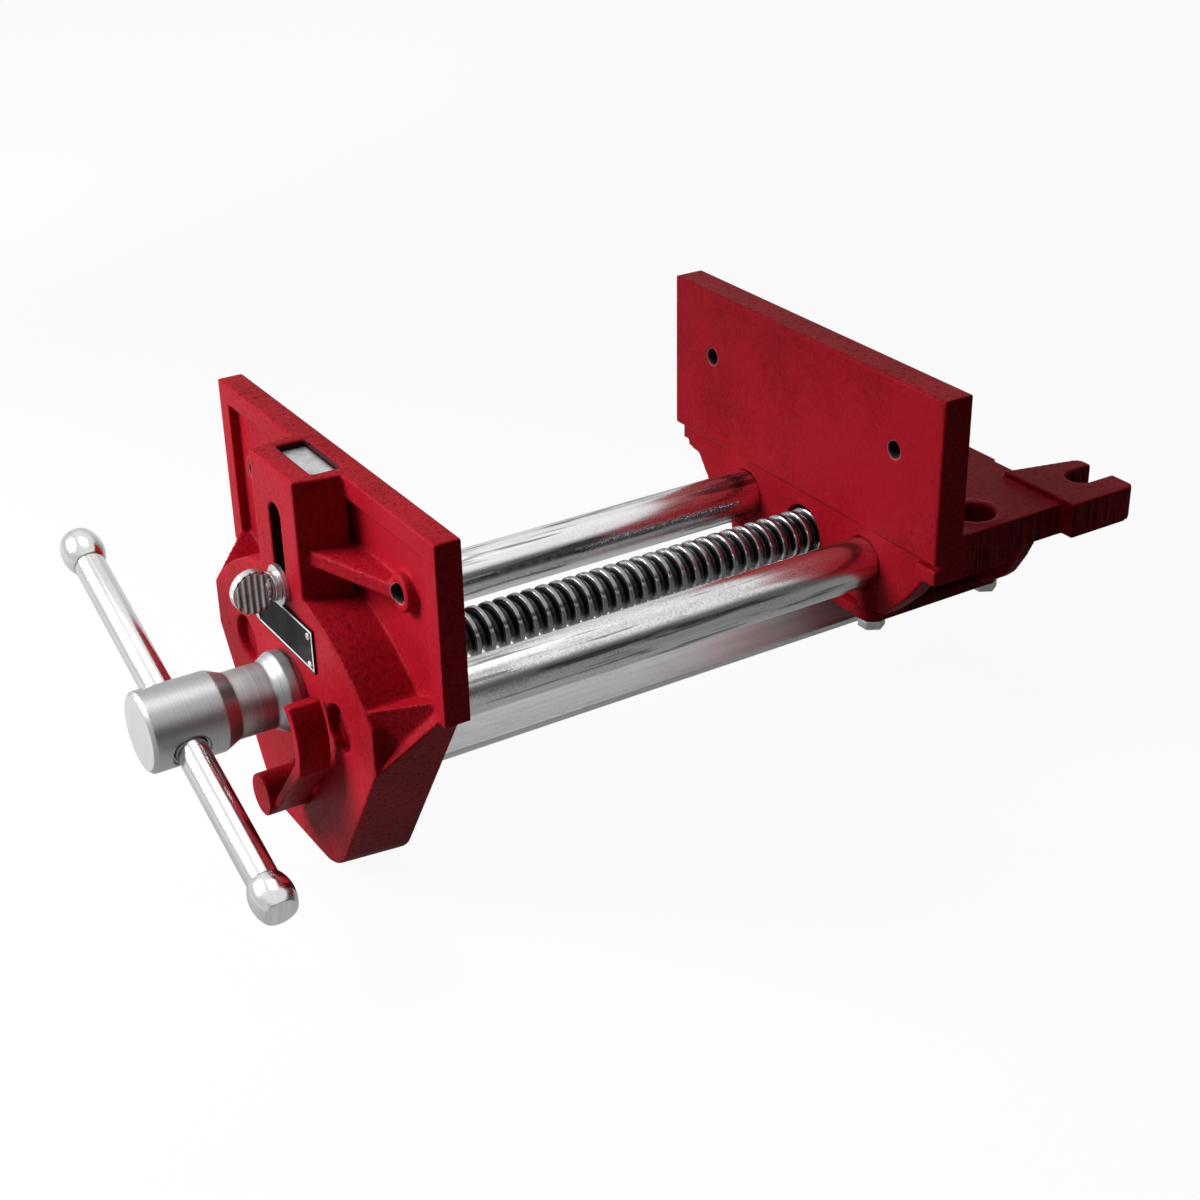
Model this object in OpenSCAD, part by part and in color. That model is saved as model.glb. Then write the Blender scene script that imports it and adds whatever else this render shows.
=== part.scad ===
// Quick-release woodworking vise, drawn fully open.
// Millimetres, +Z up, +X to the right for someone at the handle, +Y towards the bench.
// The origin is the middle of the two flange bolt holes, on top of the bench flange.

/* [Jaws] */
// Width of both jaws
jaw_w = 177.8; // [170:0.1:220]
// Height of both jaw plates' lower edges above the guide rods
plates_above_rods = 7.7; // [6:0.1:10]
// Thickness of the rear jaw plate
rear_plate_t = 13.5; // [11:0.5:16]
// Thickness of the front jaw plate at its rim
front_plate_t = 10.2; // [9.6:0.1:13]
// Width of the raised rim round the front plate
rim_w = 8.5; // [6:0.5:12]
// Depth of the panel inside that rim
panel_d = 3.5; // [2:0.1:4]
// Distance between the two cheek screw holes of a jaw
cheek_pitch = 122; // [112:1:130]
// Depth of the cheek screw holes below the jaw top
cheek_drop = 29; // [24:0.5:32]
// Radius of the cheek screw holes
cheek_hole_r = 3.4; // [2.5:0.1:4.5]
// Opening between the clamping faces
opening = 203.2; // [160:0.1:215]

/* [Bench flange] */
// Height of the flange top above the guide rods
flange_above_rods = 17.7; // [15:0.1:20]
// Thickness of the flange
flange_t = 13; // [11:0.5:14]
// Depth of the flange from the clamping face to its rear edge
flange_y = 72.5; // [70:0.5:74]
// Distance between the two bolt holes
bolt_pitch = 150; // [140:1:156]
// Distance of the bolt holes behind the clamping face
bolt_y = 31; // [27:0.5:36]
// Radius of the bolt holes
bolt_hole_r = 8.5; // [5:0.5:9]
// Depth that the flange's side edges hang below its underside
cheek_lip = 5.5; // [3:0.5:8]
// Distance from the middle to each slotted ear's slot
ear_x = 77; // [74:0.5:80]
// Width of each slotted ear
ear_w = 38; // [34:0.5:42]
// Distance from the clamping face to the ear tips
ear_tip_y = 98; // [94:0.5:104]
// Width of the ear slots
ear_slot_w = 12; // [8:0.5:14]
// Distance from the clamping face to the closed end of a slot
ear_slot_y = 80; // [78:0.5:84]
// Height that the ears rise over the flange
ear_rise = 2.6; // [1:0.1:4]

/* [Guide rods] */
// Radius of the guide rods
rod_r = 10.5; // [9:0.1:11]
// Distance between the two rods
rod_pitch = 81; // [78:0.5:84]
// Throat, from the jaw top to the top of the rods
throat = 76.2; // [75:0.1:79]
// Radius of the spigot at each rod's front end
spigot_r = 9; // [7:0.1:9]

/* [Main screw] */
// Radius over the thread crests
crest_r = 10; // [9:0.1:10.2]
// Depth of the thread
thread_d = 3; // [2.4:0.1:3.2]
// Pitch of the thread
thread_pitch = 6.35; // [5.6:0.05:7]
// Radius of the plain front journal
journal_r = 9; // [8:0.1:9.5]
// Distance that the screw lies below the rods
screw_below_rods = 2.5; // [1:0.1:3]
// Radius of the screw head
head_r = 15.4; // [13.6:0.1:16]
// Length of the head's full cylinder
head_len = 28.3; // [24:0.1:30]
// Radius of the neck behind the head
neck_r = 12.8; // [10.4:0.1:13.4]
// Length of the neck between its two cones
neck_len = 14.3; // [10:0.1:15]
// Length of the ring that bears on the thrust washer
head_ring_len = 4; // [3:0.5:6]

/* [Handle] */
// Radius of the handle bar
bar_r = 6; // [5:0.1:6.5]
// Distance between the middles of the two knobs
handle_len = 173; // [150:1:220]
// Radius of the knobs
knob_r = 8.2; // [7.4:0.1:10]
// Tilt of the handle, right end down, in degrees
handle_tilt = 21.2; // [0:0.1:90]
// Distance that the bar is pushed through towards its upper end
handle_shift = 4.4; // [0:0.1:40]

/* [Dog] */
// Width of the dog block
dog_w = 29; // [26:0.5:30]
// Thickness of the dog block
dog_t = 10.8; // [9:0.1:11]
// Height of the lowered dog's foot above the guide rods
dog_above_rods = 20.7; // [19:0.1:24]
// Depth of the dog's top below the jaw top when it is lowered
dog_sink = 2.5; // [1:0.1:4]
// Height that the dog can be raised
dog_rise = 27; // [20:0.5:28]
// Width of the upright slot that the dog's screw slides in
dog_slot_w = 9.5; // [7:0.5:11]
// Radius of the thumbscrew's thread
thumb_r = 3; // [2:0.1:3.2]
// Radius of the ribbed disc that the fingers turn
thumb_disc_r = 8.3; // [6:0.1:9]

/* [Quick release] */
// Depth of the release bar's axis below the guide rods' axes
release_below_rods = 43.8; // [42:0.1:47]
// Width of the flat release bar
release_w = 30; // [26:0.5:31]
// Thickness of the release bar
release_t = 3.2; // [2.6:0.1:4]
// Radius of the lever's shaft
lever_r = 8.3; // [7:0.1:9]
// Turn of the lever from rest to released, in degrees
lever_turn = 16; // [14:0.5:17]
// Thickness of the lever's curved arm
lever_arm_t = 4.4; // [3.5:0.1:6]
// Length of the half nut
nut_len = 30; // [24:1:31]

/* [Apron of the front jaw] */
// Depth from the clamping face to the apron's front
apron_t = 27.9; // [24:0.1:30]
// Half width of the apron
apron_half = 68.6; // [66:0.1:74]
// Radius of the apron's upper edge
apron_arc_r = 93; // [85:0.5:98]
// Depth of that arc's centre below the release bar's axis
arc_below_release = 6; // [1:0.1:8]
// Depth of the apron's bottom below the release bar's axis
apron_below_release = 24.5; // [22:0.1:28]
// Half width of the apron's bottom, to the sharp corners before rounding
apron_foot_half = 29.8; // [28:0.1:38]
// Slope of its two lower sides, in degrees from upright
apron_taper = 31.5; // [28:0.5:36]
// Wall of the hollow apron
wall = 7; // [5:0.5:8]

/* [Name plate] */
// Width of the bare name plate
plate_w = 51.5; // [40:0.5:54]
// Height of the name plate
plate_h = 17.2; // [12:0.2:18]
// Thickness of the name plate
plate_t = 0.8; // [0.5:0.1:1.5]

/* [Hidden] */

// Colours
paint = [0.70, 0.09, 0.14];
steel = [0.74, 0.75, 0.76];
dark_steel = [0.16, 0.16, 0.17];
zinc = [0.80, 0.80, 0.78];
black = [0.05, 0.05, 0.06];

// Fineness of round faces and of arcs in outlines
$fn = 64;
arc_steps = 12;

// Clearances
cut = 1;
run = 0.06;
press = 0.02;
slide_gap = 0.3;
flat_gap = 0.1;
thread_clear = 0.6;
nut_top_gap = 0.64;

// Heights, all measured from the jaw top
rod_z = -throat - rod_r;
screw_z = rod_z - screw_below_rods;
release_z = rod_z - release_below_rods;
jaw_h = throat - plates_above_rods;
flange_drop = throat - flange_above_rods;
apron_arc_drop = arc_below_release - release_z;
apron_drop = apron_below_release - release_z;

// Rear jaw body
body_set = 4.5;
body_below_rods = 19.3;
body_drop = body_below_rods - rod_z;
body_wall = 10;
body_rear_y = 74;
lug_y0 = 57;
lug_t = 7.5;
sleeve_wall = 4;
body_bottom_h = body_drop - flange_drop;
front_outline_shares = [[0.967, 0], [0.967, 0.27], [0.956, 0.442], [0.866, 0.474], [0.765, 0.722],
    [0.607, 1]];
lug_outline_shares = [[0.92, 0], [0.90, 0.27], [0.864, 0.446], [0.826, 0.598], [0.76, 0.80],
    [0.715, 0.878], [0.65, 0.958], [0.60, 1]];
cheek_lip_y = 38;
cheek_lip_w = 12;
boss_rim_r = 12;
boss_rim_h = 0.6;
ear_y0 = 64;
ear_drop = 12;
ear_slant = 5;
ear_corner_r = 4;
ear_arc_end = 165;
well_half_w = 22.3;
well_y0 = 20.6;
well_above_rods = 8.7;
well_top = -rod_z - well_above_rods;
well_wall = 3.5;
screw_passage_r = 11.5;

// Bracket and its bolts
bracket_half_w = 50.5;
bracket_y0 = 1;
bracket_t = 5.2;
bracket_corner_r = 7;
well_len = nut_len + 2 * slide_gap + 2 * flat_gap;
floor_above_release = 10.5;
well_floor_z = release_z + floor_above_release;
well_floor_t = 3.5;
cap_bolt_r = 3;
cap_bolt_x = 44.5;
cap_bolt_y0 = 7.4;
cap_bolt_y1 = 68.3;
cap_bolt_head_r = 5.8;
cap_bolt_head_h = 4;
cap_bolt_grip = 6.8;
cap_lug_r = 6.2;
cap_lug_h = 9;
bracket_z = -body_drop - bracket_t;

// Half nut and its springs
nut_half_w = well_half_w - slide_gap;
nut_y0 = well_y0 + slide_gap + flat_gap;
nut_top = -screw_z + nut_top_gap;
nut_above_release = 19;
nut_bottom_z = release_z + nut_above_release;
leg_w = 5.2;
leg_len = 20;
leg_y0 = nut_y0 + (nut_len - leg_len) / 2;
foot_t = 4.4;
foot_half_w = 6;
foot_top_z = release_z - release_t / 2 - slide_gap;
spring_x = 9;
spring_r = 4.2;
spring_wire_r = 0.6;
spring_turns = 3.5;
spring_sides = 6;
spring_steps = 14;

// Front jaw
apron_corner_r = 25;
apron_set = 2.5;
apron_set_z = rod_z - rod_r - sleeve_wall;
apron_flare = 6.7;
shoulder_half = 86.5;
shoulder_front_fall = 5.7;
shoulder_front_z = rod_z - shoulder_front_fall;
shoulder_root_rise = 25.9;
shoulder_root_z = rod_z + shoulder_root_rise;
shoulder_low_half = 56;
shoulder_low_rise = 15.3;
shoulder_low_z = rod_z + shoulder_low_rise;
shoulder_top_half = jaw_w / 2 - rim_w;
web_root = 63.5;
shoulder_top_rise = 24.7;
shoulder_top_z = rod_z + shoulder_top_rise;
cavity_top_rise = 11.2;
cavity_top_z = rod_z + cavity_top_rise;
cavity_front_fall = 8.3;
cavity_front_z = rod_z - cavity_front_fall;
panel_y = -front_plate_t + panel_d;
housing_half = 18.3;
housing_root_half = 21.8;
housing_above_rods = 10.2;
housing_drop = throat - housing_above_rods;
pocket_y = -7.3;
pocket_len_y = dog_t + 2 * slide_gap;
pocket_half_w = dog_w / 2 + slide_gap;
dog_h = throat - dog_sink - dog_above_rods;
pocket_drop = dog_sink + dog_h + slide_gap;
slot_half_w = dog_slot_w / 2;
thumb_above_rods = 30;
thumb_drop = throat - thumb_above_rods;
cheek_boss_r = 7;
cheek_boss_rise = 0.5;
cheek_boss_y = -front_plate_t - cheek_boss_rise;
rib_t = 6;
rib_front_y = -24.4;
rib_drop = 29.5;
rod_boss_r = 15.5;
screw_boss_r = 16.5;
screw_boss_y = -8;
lever_boss_r = 13;
lever_boss_y = -14;
recess_d = 3.4;
rod_seat_y = -18.4;
rod_rear_gap = 0.7;
rod_rear_y = body_rear_y + rod_rear_gap;
rod_end_bolt_r = 4;
rod_end_bolt_len = 18;
rod_pin_r = 2;
rod_pin_y = -8;

// Screw and head, measured from the front jaw's clamping face
washer_y = -apron_t - flat_gap;
washer_t = 2;
ring_y = washer_y - washer_t;
cone_len = 4.5;
front_cone_len = 6;
neck_y = ring_y - head_ring_len - cone_len;
head_y = neck_y - neck_len - front_cone_len;
head_face_y = head_y - head_len;
head_chamfer = 1.4;
handle_y = head_y - head_len / 2;
handle_hole_r = bar_r + slide_gap;
handle_sink_w = 1.1;
handle_sink_r = handle_hole_r + handle_sink_w;
handle_sink_d = 1.8;
handle_web = 2;
journal_front_y = handle_y + handle_hole_r + handle_web;
collar_t = 7;
collar_r = 15;
collar_pin_r = 2;
thread_start_y = 14;
thread_past = 60;
thread_end_y = opening + thread_past;
tail_r = 6;
tail_len = 28;
tail_end_y = thread_end_y + tail_len;
thread_mean_share = 0.5;
thread_swing_share = 0.65;
thread_sides = 12;
thread_steps = 6;
nut_cut_sides = 24;
nut_cut_steps = 12;

// Handle
knob_len = 14;
knob_end_r = 6.4;
spigot_bar_r = 4;
knob_seat = 6.2;
knob_bore = 11;
bar_half = handle_len / 2 - knob_seat;

// Lever
lever_front_y = -44.3;
lever_arm_y0 = -42.5;
lever_arm_y1 = -30.3;
lever_back_y = -6;
lever_arm_c = [12.5, 35.5];
lever_arm_r = 25;
lever_arm_a0 = -22;
lever_arm_a1 = 41;
lever_tip_slant = 9;
lever_root_slant = 6;
lever_root_share = 0.77;
lever_foot_share = 0.64;
lever_top_share = 0.9;
tenon_r = 4.5;
tenon_front_y = -30;
flat_front_y = 3;
lever_pin_r = 1.5;
lever_pin_y = -10;

// End plate
end_plate_t = 8;
end_lobe_r = 11.5;
end_bar_half = 10.8;
end_tenon_lobe_r = 8;
end_web_w = 14;
end_bolt_head_r = 7.5;
end_bolt_head_h = 5.3;
end_washer_r = 8.5;
end_washer_t = 1.6;
bar_ring_r = 7.5;
bar_ring_t = 1.2;
end_y0 = opening + rod_rear_y;
end_y1 = end_y0 + end_plate_t;

// Dog hardware
washer_big_r = 7.6;
washer_big_t = 1.8;
thumb_collar_r = 5.6;
thumb_collar_t = 2.4;
thumb_neck_r = 3.8;
thumb_disc_t = 3.6;
thumb_disc_y = -38.8;
thumb_rib_r = 0.7;
thumb_ribs = 6;
thumb_tip_inset = 2;
thumb_tip_y = pocket_y - thumb_tip_inset;
thumb_rib_span = 0.86;
thumb_rib_len = 0.9;

// Name plate
plate_above_rods = 22;
plate_drop = throat - plate_above_rods;
rivet_r = 1.1;
rivet_head_r = 1.4;
rivet_head_h = 0.7;
rivet_len = 4;
rivet_inset = 2.9;

// Placing

// Puts a child drawn from the top middle of the rear clamping face into the part's frame
module on_rear_jaw() {
    translate([0, -bolt_y, flange_drop]) children();
}

// The same for a child drawn from the top middle of the front clamping face
module on_front_jaw() {
    on_rear_jaw() translate([0, -opening, 0]) children();
}

// An outline in X and Z, made solid from y0 to y1
module slab(y0, y1) {
    translate([0, y1, 0]) rotate([90, 0, 0]) linear_extrude(y1 - y0) children();
}

// A rod along Y from y0 to y1 at the place x, z
module rod_y(x, z, y0, y1, r) {
    translate([x, y1, z]) rotate([90, 0, 0]) cylinder(h = y1 - y0, r = r);
}

// A bolt's hexagonal head along Y
module hex_y(x, z, y0, y1, r) {
    translate([x, y1, z]) rotate([90, 0, 0]) cylinder(h = y1 - y0, r = r, $fn = 6);
}

// A box given by its two corners
module box(low, high) {
    translate(low) cube(high - low);
}

// The child and its mirror image across the middle
module both_sides() {
    children();
    mirror([1, 0, 0]) children();
}

// Points of an arc about c, from angle a0 to a1
function arc(c, r, a0, a1, steps) =
    [for (i = [0:steps]) let (a = a0 + (a1 - a0) * i / steps) c + r * [cos(a), sin(a)]];

// Points given as shares of a half width and a depth, below a height
function share_points(table, half, depth, top) =
    [for (p = table) [p[0] * half, top - p[1] * depth]];

// An outline from its right half
function mirrored(points) =
    concat(points, [for (i = [len(points) - 1:-1:0]) if (points[i][0] > 0) [-points[i][0], points[i][1]]]);

// Screw thread

// Radius of the threaded surface at the distance y along it and the angle a about it
function thread_radius(y, a, root, crest) =
    root + (crest - root)
        * min(1, max(0, thread_mean_share + thread_swing_share * cos(360 * y / thread_pitch - a)));

// One ring of points at y: plain where root and crest are alike
function thread_ring(y, root, crest, sides) =
    [for (i = [0:sides - 1]) let (a = 360 * i / sides, r = thread_radius(y, a, root, crest))
        [r * sin(a), y, r * cos(a)]];

// A solid through rings, each given as [y, root radius, crest radius]
module ringed_solid(rings, sides) {
    points = [for (s = rings) each thread_ring(s[0], s[1], s[2], sides)];
    last = len(rings) - 1;
    around = [for (i = [0:sides - 1]) i];
    near = [for (k = [0:last - 1], i = around)
        [k * sides + i, (k + 1) * sides + i, (k + 1) * sides + (i + 1) % sides]];
    far = [for (k = [0:last - 1], i = around)
        [k * sides + i, (k + 1) * sides + (i + 1) % sides, k * sides + (i + 1) % sides]];
    front = [for (i = around) i];
    back = [for (i = around) last * sides + sides - 1 - i];
    polyhedron(points, concat(near, far, [front, back]), convexity = 10);
}

// Rings of a thread between two stations
function thread_rings(y0, y1, root, crest, steps) =
    let (n = ceil((y1 - y0) * steps / thread_pitch))
    [for (k = [0:n]) [y0 + (y1 - y0) * k / n, root, crest]];

// Rear jaw

module body_outline(shares) {
    polygon(mirrored(share_points(shares, jaw_w / 2, body_bottom_h, -flange_drop)));
}

module ear_outline() {
    half = ear_w / 2;
    difference() {
        polygon(concat(
            [[ear_x - half - ear_slant / 2, ear_y0], [ear_x + half, ear_y0]],
            arc([ear_x + half - ear_corner_r, ear_tip_y - ear_corner_r], ear_corner_r, 0, 90, arc_steps / 2),
            arc([ear_x - half + ear_slant + ear_corner_r, ear_tip_y - ear_corner_r], ear_corner_r,
                90, ear_arc_end, arc_steps / 2)));
        translate([ear_x, ear_slot_y + ear_slot_w / 2]) circle(d = ear_slot_w);
        translate([ear_x - ear_slot_w / 2, ear_slot_y + ear_slot_w / 2]) square([ear_slot_w, ear_tip_y]);
    }
}

module bench_flange() {
    box([-jaw_w / 2, body_set, -flange_drop - flange_t], [jaw_w / 2, flange_y, -flange_drop]);
    for (s = [-1, 1])
        translate([s * (jaw_w - cheek_lip_w) / 2, s < 0 ? body_set : 0, -flange_drop - flange_t - cheek_lip])
            box([-cheek_lip_w / 2, 0, 0], [cheek_lip_w / 2, cheek_lip_y, cheek_lip + cut]);
    both_sides() {
        translate([0, 0, -flange_drop - ear_drop]) linear_extrude(ear_drop + ear_rise) ear_outline();
        translate([bolt_pitch / 2, bolt_y, -flange_drop]) cylinder(h = boss_rim_h, r = boss_rim_r);
    }
}

module rear_body() {
    slab(body_set, body_set + body_wall) body_outline(front_outline_shares);
    slab(lug_y0, lug_y0 + lug_t) body_outline(lug_outline_shares);
    box([-rod_pitch / 2, body_set, -body_drop], [rod_pitch / 2, body_rear_y, -flange_drop]);
    both_sides() {
        rod_y(rod_pitch / 2, rod_z, body_set, body_rear_y, rod_r + sleeve_wall);
        for (y = [cap_bolt_y0, cap_bolt_y1])
            translate([cap_bolt_x, y, -body_drop]) cylinder(h = cap_lug_h, r = cap_lug_r);
    }
}

module rear_jaw() {
    color(paint) on_rear_jaw() difference() {
        union() {
            box([-jaw_w / 2, 0, -jaw_h], [jaw_w / 2, rear_plate_t, 0]);
            bench_flange();
            rear_body();
        }
        both_sides() {
            rod_y(rod_pitch / 2, rod_z, -cut, body_rear_y + cut, rod_r + run);
            rod_y(cheek_pitch / 2, -cheek_drop, -cut, rear_plate_t + cut, cheek_hole_r);
            translate([bolt_pitch / 2, bolt_y, -flange_drop - flange_t - cheek_lip - cut])
                cylinder(h = flange_t + cheek_lip + 2 * cut + boss_rim_h, r = bolt_hole_r);
            for (y = [cap_bolt_y0, cap_bolt_y1])
                translate([cap_bolt_x, y, -body_drop - cut])
                    cylinder(h = cap_bolt_grip + cut + flat_gap, r = cap_bolt_r + press);
        }
        rod_y(0, screw_z, -cut, body_rear_y + cut, screw_passage_r);
        box([-well_half_w, well_y0, -body_drop - cut], [well_half_w, well_y0 + well_len, -well_top]);
    }
}

// Bracket under the rear jaw

module bracket_outline() {
    r = bracket_corner_r;
    x = bracket_half_w - r;
    polygon(mirrored(concat(
        arc([x, bracket_y0 + r], r, -90, 0, arc_steps / 2),
        arc([x, body_rear_y - r], r, 0, 90, arc_steps / 2))));
}

module nut_bracket() {
    box_half = well_half_w + well_wall;
    leg_gap = slide_gap + flat_gap;
    color(paint) on_rear_jaw() difference() {
        union() {
            translate([0, 0, bracket_z]) linear_extrude(bracket_t) bracket_outline();
            box([-box_half, well_y0 - well_wall, well_floor_z - well_floor_t],
                [box_half, well_y0 + well_len + well_wall, bracket_z]);
        }
        box([-well_half_w, well_y0, well_floor_z], [well_half_w, well_y0 + well_len, -body_drop + cut]);
        box([-well_half_w, leg_y0 - leg_gap, well_floor_z - well_floor_t - cut],
            [-nut_half_w + leg_w + leg_gap, leg_y0 + leg_len + leg_gap, well_floor_z + cut]);
        both_sides() for (y = [cap_bolt_y0, cap_bolt_y1])
            translate([cap_bolt_x, y, bracket_z - cut])
                cylinder(h = bracket_t + 2 * cut, r = cap_bolt_r + press);
    }
}

module bracket_bolts() {
    color(zinc) on_rear_jaw() both_sides() for (y = [cap_bolt_y0, cap_bolt_y1])
        translate([cap_bolt_x, y, bracket_z]) {
            cylinder(h = bracket_t + cap_bolt_grip, r = cap_bolt_r);
            translate([0, 0, -cap_bolt_head_h])
                cylinder(h = cap_bolt_head_h, r = cap_bolt_head_r, $fn = 6);
        }
}

// Half nut, which hangs a hook under the release bar's left edge

module half_nut() {
    thread_y0 = nut_y0 + opening - thread_pitch;
    color(dark_steel) on_rear_jaw() difference() {
        union() {
            box([-nut_half_w, nut_y0, nut_bottom_z], [nut_half_w, nut_y0 + nut_len, -nut_top]);
            box([-nut_half_w, leg_y0, foot_top_z - foot_t],
                [-nut_half_w + leg_w, leg_y0 + leg_len, nut_bottom_z + cut]);
            box([-nut_half_w, leg_y0, foot_top_z - foot_t],
                [-foot_half_w, leg_y0 + leg_len, foot_top_z]);
        }
        translate([0, -opening, screw_z])
            ringed_solid(thread_rings(thread_y0, thread_y0 + nut_len + 2 * thread_pitch,
                crest_r - thread_d + thread_clear, crest_r + thread_clear, nut_cut_steps), nut_cut_sides);
    }
}

// Points of a coil's wire: rings of points along a helix
module coil(r, wire_r, height, turns) {
    last = turns * spring_steps;
    rise = (height - 2 * wire_r) / last;
    points = [for (k = [0:last], i = [0:spring_sides - 1])
        let (a = 360 * k / spring_steps, b = 360 * i / spring_sides, q = r + wire_r * cos(b))
        [q * cos(a), q * sin(a), wire_r + rise * k + wire_r * sin(b)]];
    sides = [for (k = [0:last - 1], i = [0:spring_sides - 1]) let (j = (i + 1) % spring_sides)
        each [[k * spring_sides + i, (k + 1) * spring_sides + i, (k + 1) * spring_sides + j],
            [k * spring_sides + i, (k + 1) * spring_sides + j, k * spring_sides + j]]];
    front = [for (i = [0:spring_sides - 1]) i];
    back = [for (i = [spring_sides - 1:-1:0]) last * spring_sides + i];
    echo(coil_gap = rise * spring_steps - 2 * wire_r);
    polyhedron(points, concat(sides, [front, back]), convexity = 10);
}

module nut_spring(side) {
    color(steel) on_rear_jaw() translate([side * spring_x, nut_y0 + nut_len / 2, well_floor_z])
        coil(spring_r, spring_wire_r, nut_bottom_z - well_floor_z, spring_turns);
}

module nut_spring_left() {
    nut_spring(-1);
}

module nut_spring_right() {
    nut_spring(1);
}

// Front jaw

// The apron's front, with straight sides that the lower slopes cut off
module apron_front() {
    slab(-apron_t, panel_y) polygon(mirrored(concat(
        arc([0, -apron_arc_drop], apron_arc_r, 90, acos(apron_half / apron_arc_r), arc_steps),
        [[apron_half, -apron_drop - cut]])));
}

// The shoulders, which rise from the apron's front to the jaw plate, each with a web out to the rim
module shoulders() {
    intersection() {
        slab(-apron_t, 0) polygon(mirrored([[0, shoulder_low_z], [shoulder_low_half, shoulder_low_z],
            [shoulder_top_half, shoulder_top_z], [shoulder_half, shoulder_top_z],
            [shoulder_half, -apron_drop - cut]]));
        union() {
            side_view() polygon([[-apron_t, shoulder_front_z], [panel_y, shoulder_root_z],
                [cut, shoulder_root_z], [cut, -apron_drop - cut], [-apron_t, -apron_drop - cut]]);
            both_sides() translate([0, 0, -apron_drop - cut]) linear_extrude(apron_drop)
                polygon([[shoulder_low_half, cut], [shoulder_low_half, -apron_t], [web_root, -apron_t],
                    [shoulder_top_half, shoulder_top_half - web_root - apron_t], [shoulder_top_half, cut]]);
        }
    }
}

// An outline in Y and Z, made solid across the whole jaw
module side_view() {
    rotate([90, 0, 90]) linear_extrude(2 * jaw_w, center = true) children();
}

// All that lies between the two lower slopes, which flare towards the rear, drawn in by inset
module between_slopes(inset) {
    intersection() {
        slope_side(inset);
        mirror([1, 0, 0]) slope_side(inset);
    }
}

module slope_side(inset) {
    r = apron_corner_r - inset;
    foot = [inset * tan(apron_taper) - inset / cos(apron_taper), -apron_drop + inset];
    rise = apron_drop - inset;
    middle = foot + r * [-tan(45 - apron_taper / 2), 1];
    translate([apron_foot_half, -apron_t, 0]) rotate([0, 0, -apron_flare]) slab(-jaw_w, jaw_w)
        polygon(concat([[-2 * jaw_w, 0], [-2 * jaw_w, foot[1]]], arc(middle, r, -90, -apron_taper, arc_steps),
            [[foot[0] + rise * tan(apron_taper), 0]]));
}

module apron_cavity() {
    intersection() {
        between_slopes(wall);
        side_view() polygon([[wall - apron_t, cavity_front_z], [-front_plate_t, cavity_top_z],
            [cut, cavity_top_z], [cut, -apron_drop], [wall - apron_t, -apron_drop]]);
    }
}

module apron_body() {
    difference() {
        intersection() {
            union() {
                apron_front();
                shoulders();
            }
            between_slopes(0);
        }
        apron_cavity();
        box([-jaw_w, -apron_set, -apron_drop - cut], [jaw_w, jaw_w, apron_set_z]);
        both_sides() box([web_root, -apron_set, apron_set_z - cut], [jaw_w, jaw_w, -jaw_h]);
    }
}

module dog_housing() {
    translate([0, 0, -housing_drop]) linear_extrude(housing_drop)
        polygon([[-housing_root_half, -front_plate_t + cut], [-housing_root_half, -front_plate_t],
            [-housing_half, -apron_t], [housing_half, -apron_t],
            [housing_root_half, -front_plate_t], [housing_root_half, -front_plate_t + cut]]);
}

// Slot that the thumbscrew's thread rises in
module dog_slot() {
    y0 = -apron_t - cut;
    y1 = pocket_y - pocket_len_y + cut;
    box([-slot_half_w, y0, -thumb_drop], [slot_half_w, y1, -thumb_drop + dog_rise]);
    for (z = [-thumb_drop, -thumb_drop + dog_rise])
        rod_y(0, z, y0, y1, slot_half_w);
}

module cheek_rib() {
    x0 = housing_half;
    x1 = cheek_pitch / 2;
    back = panel_y - flat_gap;
    translate([0, 0, -rib_drop - rib_t / 2]) linear_extrude(rib_t)
        polygon([[x0 - cut, back], [x0 - cut, rib_front_y], [x0, rib_front_y], [x1, cheek_boss_y],
            [x1, back]]);
    rod_y(x1, -cheek_drop, cheek_boss_y, -front_plate_t / 2, cheek_boss_r);
}

module jaw_plate() {
    difference() {
        box([-jaw_w / 2, -front_plate_t, -jaw_h], [jaw_w / 2, 0, 0]);
        box([-jaw_w / 2 + rim_w, -front_plate_t - cut, -jaw_h - cut],
            [jaw_w / 2 - rim_w, panel_y, -rim_w]);
    }
}

module front_jaw_bosses() {
    both_sides() rod_y(rod_pitch / 2, rod_z, -apron_t, -cut, rod_boss_r);
    rod_y(0, screw_z, -apron_t, screw_boss_y, screw_boss_r);
    rod_y(0, release_z, -apron_t, lever_boss_y, lever_boss_r);
}

module front_jaw() {
    color(paint) on_front_jaw() difference() {
        union() {
            jaw_plate();
            apron_body();
            dog_housing();
            both_sides() cheek_rib();
            front_jaw_bosses();
        }
        both_sides() {
            rod_y(rod_pitch / 2, rod_z, rod_seat_y, cut, rod_r + press);
            rod_y(rod_pitch / 2, rod_z, -apron_t - cut, rod_seat_y + cut, spigot_r + press);
            rod_y(cheek_pitch / 2, -cheek_drop, -apron_t, cut, cheek_hole_r);
            translate([rod_pitch / 2, rod_pin_y, rod_z - rod_boss_r - cut])
                cylinder(h = rod_boss_r + cut, r = rod_pin_r + press);
        }
        rod_y(0, screw_z, -apron_t - cut, screw_boss_y + cut, journal_r + run);
        rod_y(0, screw_z, screw_boss_y, cut, collar_r + slide_gap);
        rod_y(0, release_z, -apron_t - cut, lever_boss_y + cut, lever_r + run);
        box([-pocket_half_w, pocket_y - pocket_len_y, -pocket_drop], [pocket_half_w, pocket_y, cut]);
        dog_slot();
        rivet_places()
            rod_y(0, 0, -apron_t - cut, -apron_t + rivet_len + flat_gap, rivet_r + press);
    }
}

// Guide rods

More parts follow.
